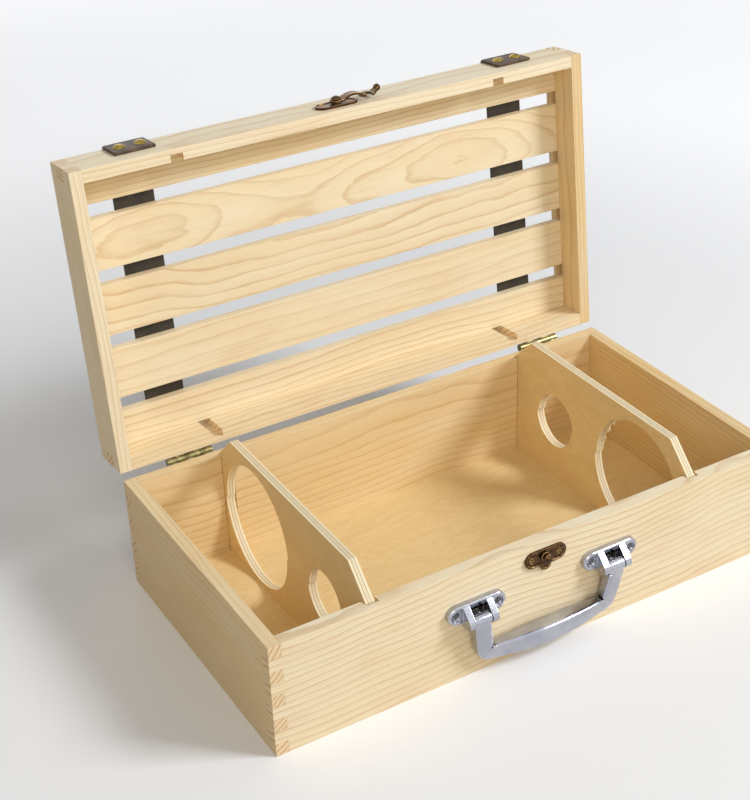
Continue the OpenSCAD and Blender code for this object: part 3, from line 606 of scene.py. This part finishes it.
class BoxStage(bpy.types.PropertyGroup):
    """Lights and floor"""

    key: power("Key light", "Large lamp at the front right", 60.0)
    fill: power("Fill light", "Softbox beside the camera", 18.0)
    back: power("Back light", "Softbox behind the box", 5.0)
    sky: share("Sky", "Strength of the even light from all round", 0.25)
    floor: colour("Floor", "Paper under the box", 250, 252, 255)


def look():
    """The colours that are set in the scene."""
    return bpy.context.scene.box_finishes


# Operators


class BOX_OT_pine_boards(bpy.types.Operator):
    """Pine for the frame boards and the slats, each board cut from its own log"""

    bl_idname = "box.pine_boards"
    bl_label = "Pine boards"

    def execute(self, context):
        # The base's ends and back and the lid's right end get a large tan and warm: painted shade for the
        # shade that falls on them. The slats and the lid's back rail get a little tan.
        boards = {
            "base_front_board": dict(along=0, pith=(-140.0, -160.0), ring=4.6, wander=9.0, contrast=0.52,
                                     seed=1.3, warm=0.15),
            "base_back_board": dict(along=0, pith=(150.0, 90.0), ring=4.4, wander=8.0, contrast=0.5,
                                    seed=4.1, warm=0.7, tan=0.5),
            "base_left_end": dict(along=1, pith=(-260.0, 130.0), ring=3.0, wander=6.0, contrast=0.45,
                                  seed=6.7, warm=0.6, tan=0.35),
            "base_right_end": dict(along=1, pith=(150.0, 100.0), ring=3.2, wander=6.0,
                                   seed=8.2, warm=0.9, tan=0.6),
            "lid_front_rail": dict(along=0, pith=(-150.0, 80.0), ring=3.0, wander=6.0, contrast=0.5,
                                   seed=9.9, warm=0.3),
            "lid_back_rail": dict(along=0, pith=(130.0, 60.0), ring=3.6, wander=6.0,
                                  seed=12.4, warm=0.5, tan=0.2),
            "lid_left_end": dict(along=1, pith=(-200.0, 60.0), ring=2.8, wander=5.0, contrast=0.5,
                                 seed=14.0, warm=0.4),
            "lid_right_end": dict(along=1, pith=(215.0, 70.0), ring=3.4, wander=5.0,
                                  seed=16.1, warm=0.9, tan=0.5),
            "lid_slat_1": dict(along=0, pith=(220.0, 100.0), ring=5.0, wander=8.0, contrast=0.5,
                               seed=18.3, warm=0.35, tan=0.14),
            "lid_slat_2": dict(along=0, pith=(260.0, 190.0), ring=7.0, wander=5.0, contrast=0.28,
                               seed=21.7, warm=0.4, tan=0.14, fine=0.8),
            "lid_slat_3": dict(along=0, pith=(-30.0, 60.0), ring=5.0, wander=8.0, contrast=0.55,
                               seed=23.8, warm=0.4, tan=0.12),
            "lid_slat_4": dict(along=0, pith=(-38.0, 60.0), ring=3.0, wander=12.0, contrast=0.42,
                               seed=27.2, warm=0.5, tan=0.06),
            "lid_slat_5": dict(along=0, pith=(-220.0, 90.0), ring=3.2, wander=7.0,
                               seed=29.5, warm=0.6, tan=0.15),
        }
        for node, facts in boards.items():
            turn = LID_TURN if node.startswith("lid") else 0.0
            own = facts.pop("contrast", MIDDLE_CONTRAST)
            strength = look().ring_contrast / MIDDLE_CONTRAST * own
            dress(node, pine("pine_" + node, contrast=strength, turn=turn, **facts))
        return {"FINISHED"}


class BOX_OT_plywood(bpy.types.Operator):
    """Plywood for the floor and the bottle cradles"""

    bl_idname = "box.plywood"
    bl_label = "Plywood"

    def execute(self, context):
        axes = {"base_floor": 2, "left_lower_cradle": 0, "left_upper_cradle": 0,
                "right_lower_cradle": 0, "right_upper_cradle": 0}
        for number, (node, axis) in enumerate(axes.items()):
            low, high = (corner[axis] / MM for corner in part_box(node))
            dress(node, plywood("ply_" + node, axis, low, high - low, 3.0 + 2.7 * number))
        return {"FINISHED"}


# The right cradle's large hole as the box's own model has it, in millimetres, and the torn
# veneer along it, between two angles in degrees
HOLE_Y = -43.5
HOLE_Z = 47.5
HOLE_R = 41.0
TEAR_FROM = 4.0
TEAR_TO = 86.0
TEAR_DEEPEST = 2.6
TEAR_LEAST = 0.05
TEAR_TEETH = 64
TEAR_THICK = 0.5
TEAR_BELOW = 0.02
TEAR_ROOT = 0.3
TEAR_SEED = 7


class BOX_OT_torn_veneer(bpy.types.Operator):
    """Splinters of the outer veneer that the saw left along one bottle hole"""

    bl_idname = "box.torn_veneer"
    bl_label = "Torn veneer"

    def execute(self, context):
        node = "right_upper_cradle"
        band = skin(self.fringe(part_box(node)[1][0] / MM))
        piece("torn_veneer", [band], node, splinters("splintered_ply"), stands_for=False, smooth=False)
        return {"FINISHED"}

    def fringe(self, face_x):
        """Rings of a thin band along the hole's edge.

        The band lies just below the sheet's face at face_x. Its outer edge is an arc just inside
        the wood. Its inner edge is the arc less a tooth, whose depth is the square of a random
        number, and which fades out at both ends.
        """
        teeth = np.random.default_rng(TEAR_SEED).random(TEAR_TEETH) ** 2
        along = np.linspace(0.0, 1.0, 3 * TEAR_TEETH)
        angles = np.radians(TEAR_FROM + (TEAR_TO - TEAR_FROM) * along)
        jagged = np.interp(along, np.linspace(0.0, 1.0, TEAR_TEETH), teeth)
        tooth = TEAR_DEEPEST * jagged * np.sin(math.pi * along) ** 0.5
        outer = np.full(along.size, HOLE_R + TEAR_ROOT)
        inner = HOLE_R - TEAR_LEAST - tooth
        radius = np.stack([outer, outer, inner, inner], axis=1)
        x = face_x - TEAR_BELOW - TEAR_THICK * np.array([1.0, 0.0, 0.0, 1.0]) + 0 * radius
        y = HOLE_Y + radius * np.cos(angles)[:, None]
        z = HOLE_Z + radius * np.sin(angles)[:, None]
        return np.stack([x, y, z], axis=2)


class BOX_OT_metal(bpy.types.Operator):
    """Brass hinges and nails, the bronze latch and the chromed brackets"""

    bl_idname = "box.metal"
    bl_label = "Metal"

    def execute(self, context):
        finishes = {
            "brass": metal("nail_brass", srgb(120, 98, 44), srgb(176, 152, 78), srgb(226, 210, 150),
                           edge_r=0.3, edge_strength=0.4, smooth=0.28, waves=0.12),
            "hinge": metal("hinge_brass", srgb(112, 104, 70), srgb(166, 156, 110), srgb(226, 218, 182),
                           edge_r=0.25, edge_strength=0.6, smooth=0.3, waves=0.10, grain=0.2),
            "bronze": metal("antique_bronze", srgb(62, 44, 32), srgb(104, 76, 50), srgb(206, 166, 108),
                            edge_r=0.4, edge_strength=0.85, smooth=0.32, waves=0.14),
            "screw": metal("screw_steel", srgb(92, 92, 96), srgb(150, 150, 154), srgb(226, 226, 226),
                           edge_r=0.2, edge_strength=0.6, smooth=0.2, waves=0.1),
            "chrome": chrome(),
        }
        other = {"handle_bracket_screws": "screw"}
        for node, slot in SLOTS.items():
            finish = finishes.get("hinge" if "hinge" in node else other.get(node, slot))
            if finish:
                dress(node, finish)
        return {"FINISHED"}


def chrome():
    """Chrome plating, grey with a blue cast, with a painted highlight that brightens its edges."""
    found = bpy.data.materials.get("chrome_plate")
    return found or metal("chrome_plate", srgb(172, 175, 187), srgb(192, 194, 203), srgb(236, 236, 238),
                          edge_r=0.4, edge_strength=0.5, smooth=0.11, waves=0.20, grain=0.06, mottle=0.03)


# The handle as the box's own model has it, in millimetres. It hangs turned in to the front
# board by the angle that takes the lowest edge of its back to just off the wood
HANDLE_DROP = 28.3
PIN_PITCH = 95.4
PIN_HOLE_R = 1.55
BARREL_R = 3.8
LEG_W = 11.0
LEG_LEAN = 3.6
NECK_END = 4.6
NECK_TOP = 1.6
NECK_BEND_R = 4.0
GRIP_INSET = 0.3
BEND_R = 6.4
BACK_TO_BOARD = 4.1
LOWEST_REACH = 35.05
HANG_ANGLE = math.asin(BACK_TO_BOARD / LOWEST_REACH)
GRIP_EDGE_POWER = 5.0
BARREL_EDGE_POWER = 7.0
AROUND = 64
BARREL_AROUND = 32
BARREL_STEPS = 48
GRIP_SPACING = 1.2


class BOX_OT_handle(bpy.types.Operator):
    """The carrying handle: a swelling grip bent up into two legs with bored eyes"""

    bl_idname = "box.handle"
    bl_label = "Handle"

    def execute(self, context):
        shape = context.scene.box_shapes
        skins = [skin(self.bail(shape))] + [skin(self.eye(side), looped=True) for side in (-1, 1)]
        hung = [(turned_x(points, HANG_ANGLE, np.zeros(3)) + HANDLE_PIVOT / MM, quads, fans)
                for points, quads, fans in skins]
        piece("handle_bail", hung, "carry_handle", chrome())
        return {"FINISHED"}

    def bail(self, shape):
        """Rings of the grip and both legs.

        The middle line runs along the grip, round an arc and up the leaning leg to the eye. At
        each point a soft box stands square to it. Its half height falls with the square of x
        from the grip's middle to its ends, and so does the distance that its front stands out.
        """
        half = PIN_PITCH / 2
        foot = half - LEG_LEAN
        corners = [(0.0, -HANDLE_DROP), (foot, -HANDLE_DROP), (half, -NECK_END), (half, -NECK_TOP)]
        line = evened(rounded_path(corners, (BEND_R, NECK_BEND_R), steps=14), GRIP_SPACING)
        ahead = np.gradient(line, axis=0)
        ahead /= np.linalg.norm(ahead, axis=1)[:, None]
        outward = np.stack([ahead[:, 1], -ahead[:, 0]], axis=1)
        grip_half = foot - LEG_W / 2
        share_out = np.clip(1.0 - (line[:, 0] / grip_half) ** 2, 0.0, 1.0)
        leg = np.clip((line[:, 1] + HANDLE_DROP) / BEND_R, 0.0, 1.0)
        end_half = shape.grip_end_h / 2
        half_h = end_half + (shape.grip_mid_h / 2 - end_half) * share_out + (LEG_W / 2 - end_half) * leg
        back = shape.leg_t / 2 - GRIP_INSET * (1.0 - leg)
        front = shape.leg_t / 2 + shape.grip_swell * share_out
        b, y = soft_box(half_h, (back + front) / 2, GRIP_EDGE_POWER, AROUND)
        y = y + ((back - front) / 2)[:, None]
        x = line[:, :1] + outward[:, :1] * b
        z = line[:, 1:] + outward[:, 1:] * b
        right = np.stack([x, y, z], axis=2)
        left = right[:0:-1] * np.array([-1.0, 1.0, 1.0])
        return np.vstack([left, right])

    def eye(self, side):
        """A barrel round the pin: a rectangle with soft corners turned about the pin's line."""
        x, r = soft_box(LEG_W / 2, (BARREL_R - PIN_HOLE_R) / 2, BARREL_EDGE_POWER, BARREL_AROUND)
        r = r + (BARREL_R + PIN_HOLE_R) / 2
        angles = np.linspace(0.0, 2 * math.pi, BARREL_STEPS, endpoint=False)[:, None]
        x = x + side * PIN_PITCH / 2 + 0 * angles
        return np.stack([x, r * np.cos(angles), r * np.sin(angles)], axis=2)


# The straps as the box's own model has them, on the closed lid, in millimetres
STRAP_X = 134.0
RAIL_FACE_Y = 96.5
RAIL_INNER_Y = 88.5
SLOPE_RUN = 8.0
LID_TOP_Z = 106.4
SLAT_TOP_Z = 102.4
FRONT_END_Z = 87.4
BACK_END_Z = 90.4
FRONT_SKEW = 0.035
SKEW_FADE = 10.0
STRAP_EDGE_POWER = 9.0
STRAP_BENDS = (1.5, 4.0, 5.0, 5.0, 4.0, 1.5)
STRAP_SPACING = 2.0


class BOX_OT_straps(bpy.types.Operator):
    """Two leather straps laid over the lid and nailed to its rails"""

    bl_idname = "box.straps"
    bl_label = "Straps"

    def execute(self, context):
        shape = context.scene.box_shapes
        hide = leather("strap_leather")
        for side, node in ((-1, "left_strap"), (1, "right_strap")):
            points, quads, fans = skin(self.band(shape, side))
            points = turned_x(points, LID_TURN, LID_PIVOT / MM)
            piece(node + "_leather", [(points, quads, fans)], node, hide)
        return {"FINISHED"}

    def band(self, shape, side):
        """Rings of one strap on the closed lid.

        A flat soft box is carried along the strap's middle line: up the front rail, round its
        top edge, down to the slats, across them and back over the other rail. Its thickness
        falls to nothing over the last fraction of a millimetre of each end, by a quarter circle,
        and the front end is cut a little askew.
        """
        t = shape.strap_t
        out, over = RAIL_FACE_Y + t / 2, LID_TOP_Z + t / 2
        slope_foot, low = RAIL_INNER_Y - SLOPE_RUN, SLAT_TOP_Z + t / 2
        corners = [(-out, FRONT_END_Z), (-out, over), (-RAIL_INNER_Y, over), (-slope_foot, low),
                   (slope_foot, low), (RAIL_INNER_Y, over), (out, over), (out, BACK_END_Z)]
        line = evened(rounded_path(corners, STRAP_BENDS), STRAP_SPACING)
        run = np.concatenate([[0.0], np.cumsum(np.linalg.norm(np.diff(line, axis=0), axis=1))])
        end = np.linspace(0.0, t / 2, 6)
        marks = np.unique(np.concatenate([run, end, run[-1] - end]))
        line = np.stack([np.interp(marks, run, line[:, i]) for i in (0, 1)], axis=1)
        ahead = np.gradient(line, axis=0)
        ahead /= np.linalg.norm(ahead, axis=1)[:, None]
        to_end = np.minimum(marks, marks[-1] - marks) / (t / 2)
        round_end = np.sqrt(np.clip(1.0 - (1.0 - np.clip(to_end, 0.02, 1.0)) ** 2, 0.0, 1.0))
        half_w = np.full(len(marks), shape.strap_w / 2)
        across, up = soft_box(half_w, round_end * t / 2, STRAP_EDGE_POWER, AROUND)
        y = line[:, :1] - ahead[:, 1:] * up
        z = line[:, 1:] + ahead[:, :1] * up
        near_front = np.clip(1.0 - marks / SKEW_FADE, 0.0, 1.0)[:, None]
        z = z + FRONT_SKEW * across * near_front
        return np.stack([across + side * STRAP_X, y, z], axis=2)


def area_lamp(name, watts, azimuth, elevation, distance, width, tint=(1.0, 1.0, 1.0)):
    """A square lamp, its width and distance in metres and its direction from the box in degrees.

    Azimuth 0 is before the front, and the lamp faces the box.
    """
    data = bpy.data.lights.new(name, "AREA")
    data.energy = watts
    data.size = width
    data.color = tint
    lamp = bpy.data.objects.new(name, data)
    bpy.context.scene.collection.objects.link(lamp)
    a, e = math.radians(azimuth), math.radians(elevation)
    lamp.location = (distance * math.sin(a) * math.cos(e), -distance * math.cos(a) * math.cos(e),
                     distance * math.sin(e) + TARGET_Z)
    lamp.rotation_euler = (math.pi / 2 - e, 0.0, a)


# Lights and floor. The fades of the floor's glow run between distances in millimetres
TARGET_Z = 0.09
WHITE = (1.0, 1.0, 1.0, 1.0)
BLACK = (0.0, 0.0, 0.0, 1.0)
KEY_TINT = (0.97, 0.98, 1.0)
FILL_TINT = (1.0, 0.88, 0.70)
FLOOR_BOUNCE = (0.64, 0.56, 0.43, 1.0)
FLOOR_HALF = 6.0
NEAR_GLOW = 0.2
NEAR_FADE = (420.0, 900.0)
FAR_FADE = (1000.0, 3200.0)

# The camera as the photograph's own frame gives it, in pixels, metres and degrees
FOCAL_PX = 1620.76
FRAME_W_PX, FRAME_H_PX = 750, 800
CENTRE_X_PX = 420.0
CAMERA_AT = (-0.45588, -0.71338, 0.62270)
CAMERA_AZIMUTH = math.radians(-31.204)
CAMERA_ELEVATION = math.radians(30.575)
CAMERA_ROLL = math.radians(-1.322)
SENSOR_MM = 36.0
NEAREST = 0.01


class BOX_OT_stage(bpy.types.Operator):
    """Pale floor, soft studio light and the camera"""

    bl_idname = "box.stage"
    bl_label = "Stage"

    def execute(self, context):
        scene = context.scene
        stage = scene.box_stage
        scene.view_settings.view_transform = "Standard"
        self.world(scene, stage)
        self.floor(stage)
        area_lamp("key", stage.key, azimuth=50.0, elevation=40.0, distance=3.0, width=0.9, tint=KEY_TINT)
        area_lamp("fill", stage.fill, azimuth=-24.0, elevation=30.0, distance=2.5, width=1.5, tint=FILL_TINT)
        area_lamp("back", stage.back, azimuth=170.0, elevation=24.0, distance=2.2, width=1.2)
        self.camera(scene)
        return {"FINISHED"}

    def seen(self, nodes):
        """1 where a camera, glossy or transmission ray looks, and 0 for the light's own rays."""
        path = nodes.add("ShaderNodeLightPath", out="Is Camera Ray")
        rays = path.link.node.outputs
        glossy, clear = (Socket(nodes, rays[name]) for name in ("Is Glossy Ray", "Is Transmission Ray"))
        return path.larger(glossy).larger(clear)

    def world(self, scene, stage):
        """Even light, with plain white where the world itself is seen."""
        world = bpy.data.worlds.new("studio")
        scene.world = world
        nodes = Nodes(world, "ShaderNodeOutputWorld")
        strength = self.seen(nodes) * (1.0 - stage.sky) + stage.sky
        light = nodes.add("ShaderNodeBackground", sockets={"Color": WHITE, "Strength": strength})
        nodes.add(nodes.output, sockets={"Surface": light})

    def floor(self, stage):
        """A wide pale sheet under the box, whose bounced light is duller than its look."""
        signs = ((-1, -1), (1, -1), (1, 1), (-1, 1))
        corners = [(x * FLOOR_HALF, y * FLOOR_HALF, 0.0) for x, y in signs]
        mesh = bpy.data.meshes.new("floor")
        mesh.from_pydata(corners, [], [(0, 1, 2, 3)])
        floor = bpy.data.objects.new("floor", mesh)
        bpy.context.scene.collection.objects.link(floor)
        paper = material("floor_paper")
        seen = self.seen(paper)
        shade = paper.mix(seen, FLOOR_BOUNCE, tuple(stage.floor))
        # Painted glow where camera, glossy and transmission rays look: none within 420 mm of the box, where
        # the floor keeps only its real light and shadow, a fifth of white from 900 mm on, and full white
        # beyond 3.2 m.
        x, y = paper.xyz(paper.place())[:2]
        distance = (x * x + y * y).sqrt()
        near_glow = distance.step(*NEAR_FADE) * (NEAR_GLOW * (1.0 - distance.step(*FAR_FADE)))
        glow = near_glow + distance.step(*FAR_FADE)
        glow = paper.mix(seen * glow, BLACK, WHITE)
        mesh.materials.append(paper.finish(Base_Color=shade, Roughness=0.8, Specular_IOR_Level=0.1,
                                           Emission_Color=glow, Emission_Strength=1.0))

    def camera(self, scene):
        """A camera whose own axes come from its azimuth, elevation and roll."""
        data = bpy.data.cameras.new("camera")
        data.sensor_fit = "VERTICAL"
        data.sensor_height = SENSOR_MM
        data.lens = FOCAL_PX / FRAME_H_PX * SENSOR_MM
        data.shift_x = (FRAME_W_PX / 2 - CENTRE_X_PX) / FRAME_H_PX
        data.clip_start = NEAREST
        sin_a, cos_a = math.sin(CAMERA_AZIMUTH), math.cos(CAMERA_AZIMUTH)
        sin_e, cos_e = math.sin(CAMERA_ELEVATION), math.cos(CAMERA_ELEVATION)
        back = np.array([sin_a * cos_e, -cos_a * cos_e, sin_e])
        level = np.array([cos_a, sin_a, 0.0])
        right = math.cos(CAMERA_ROLL) * level + math.sin(CAMERA_ROLL) * np.cross(back, level)
        matrix = np.identity(4)
        matrix[:3] = np.stack([right, np.cross(back, right), back, CAMERA_AT], axis=1)
        camera = bpy.data.objects.new("camera", data)
        scene.collection.objects.link(camera)
        camera.matrix_world = [list(row) for row in matrix.T]
        scene.camera = camera


class BOX_PT_panel(bpy.types.Panel):
    """Lists the sizes, the colours and the makers of the box"""

    bl_idname = "BOX_PT_panel"
    bl_label = "Wine box"
    bl_space_type = "VIEW_3D"
    bl_region_type = "UI"
    bl_category = "Wine box"

    def draw(self, context):
        for name, group in GROUPS.items():
            settings = getattr(context.scene, name)
            for field in group.__annotations__:
                self.layout.prop(settings, field)
        for operator in OPERATORS:
            self.layout.operator(operator.bl_idname)


GROUPS = {"box_finishes": BoxFinishes, "box_shapes": BoxShapes, "box_stage": BoxStage}
OPERATORS = (BOX_OT_pine_boards, BOX_OT_plywood, BOX_OT_torn_veneer, BOX_OT_metal, BOX_OT_handle,
             BOX_OT_straps, BOX_OT_stage)
CLASSES = (*GROUPS.values(), *OPERATORS, BOX_PT_panel)


def register():
    """Makes the classes and the scene's settings known."""
    for kind in CLASSES:
        bpy.utils.register_class(kind)
    for name, group in GROUPS.items():
        setattr(bpy.types.Scene, name, bpy.props.PointerProperty(type=group))


def unregister():
    """Undoes register."""
    for name in GROUPS:
        delattr(bpy.types.Scene, name)
    for kind in reversed(CLASSES):
        bpy.utils.unregister_class(kind)


def main():
    """Dresses the box."""
    register()
    for operator in OPERATORS:
        getattr(bpy.ops.box, operator.bl_idname.split(".")[1])()


if __name__ == "__main__":
    main()
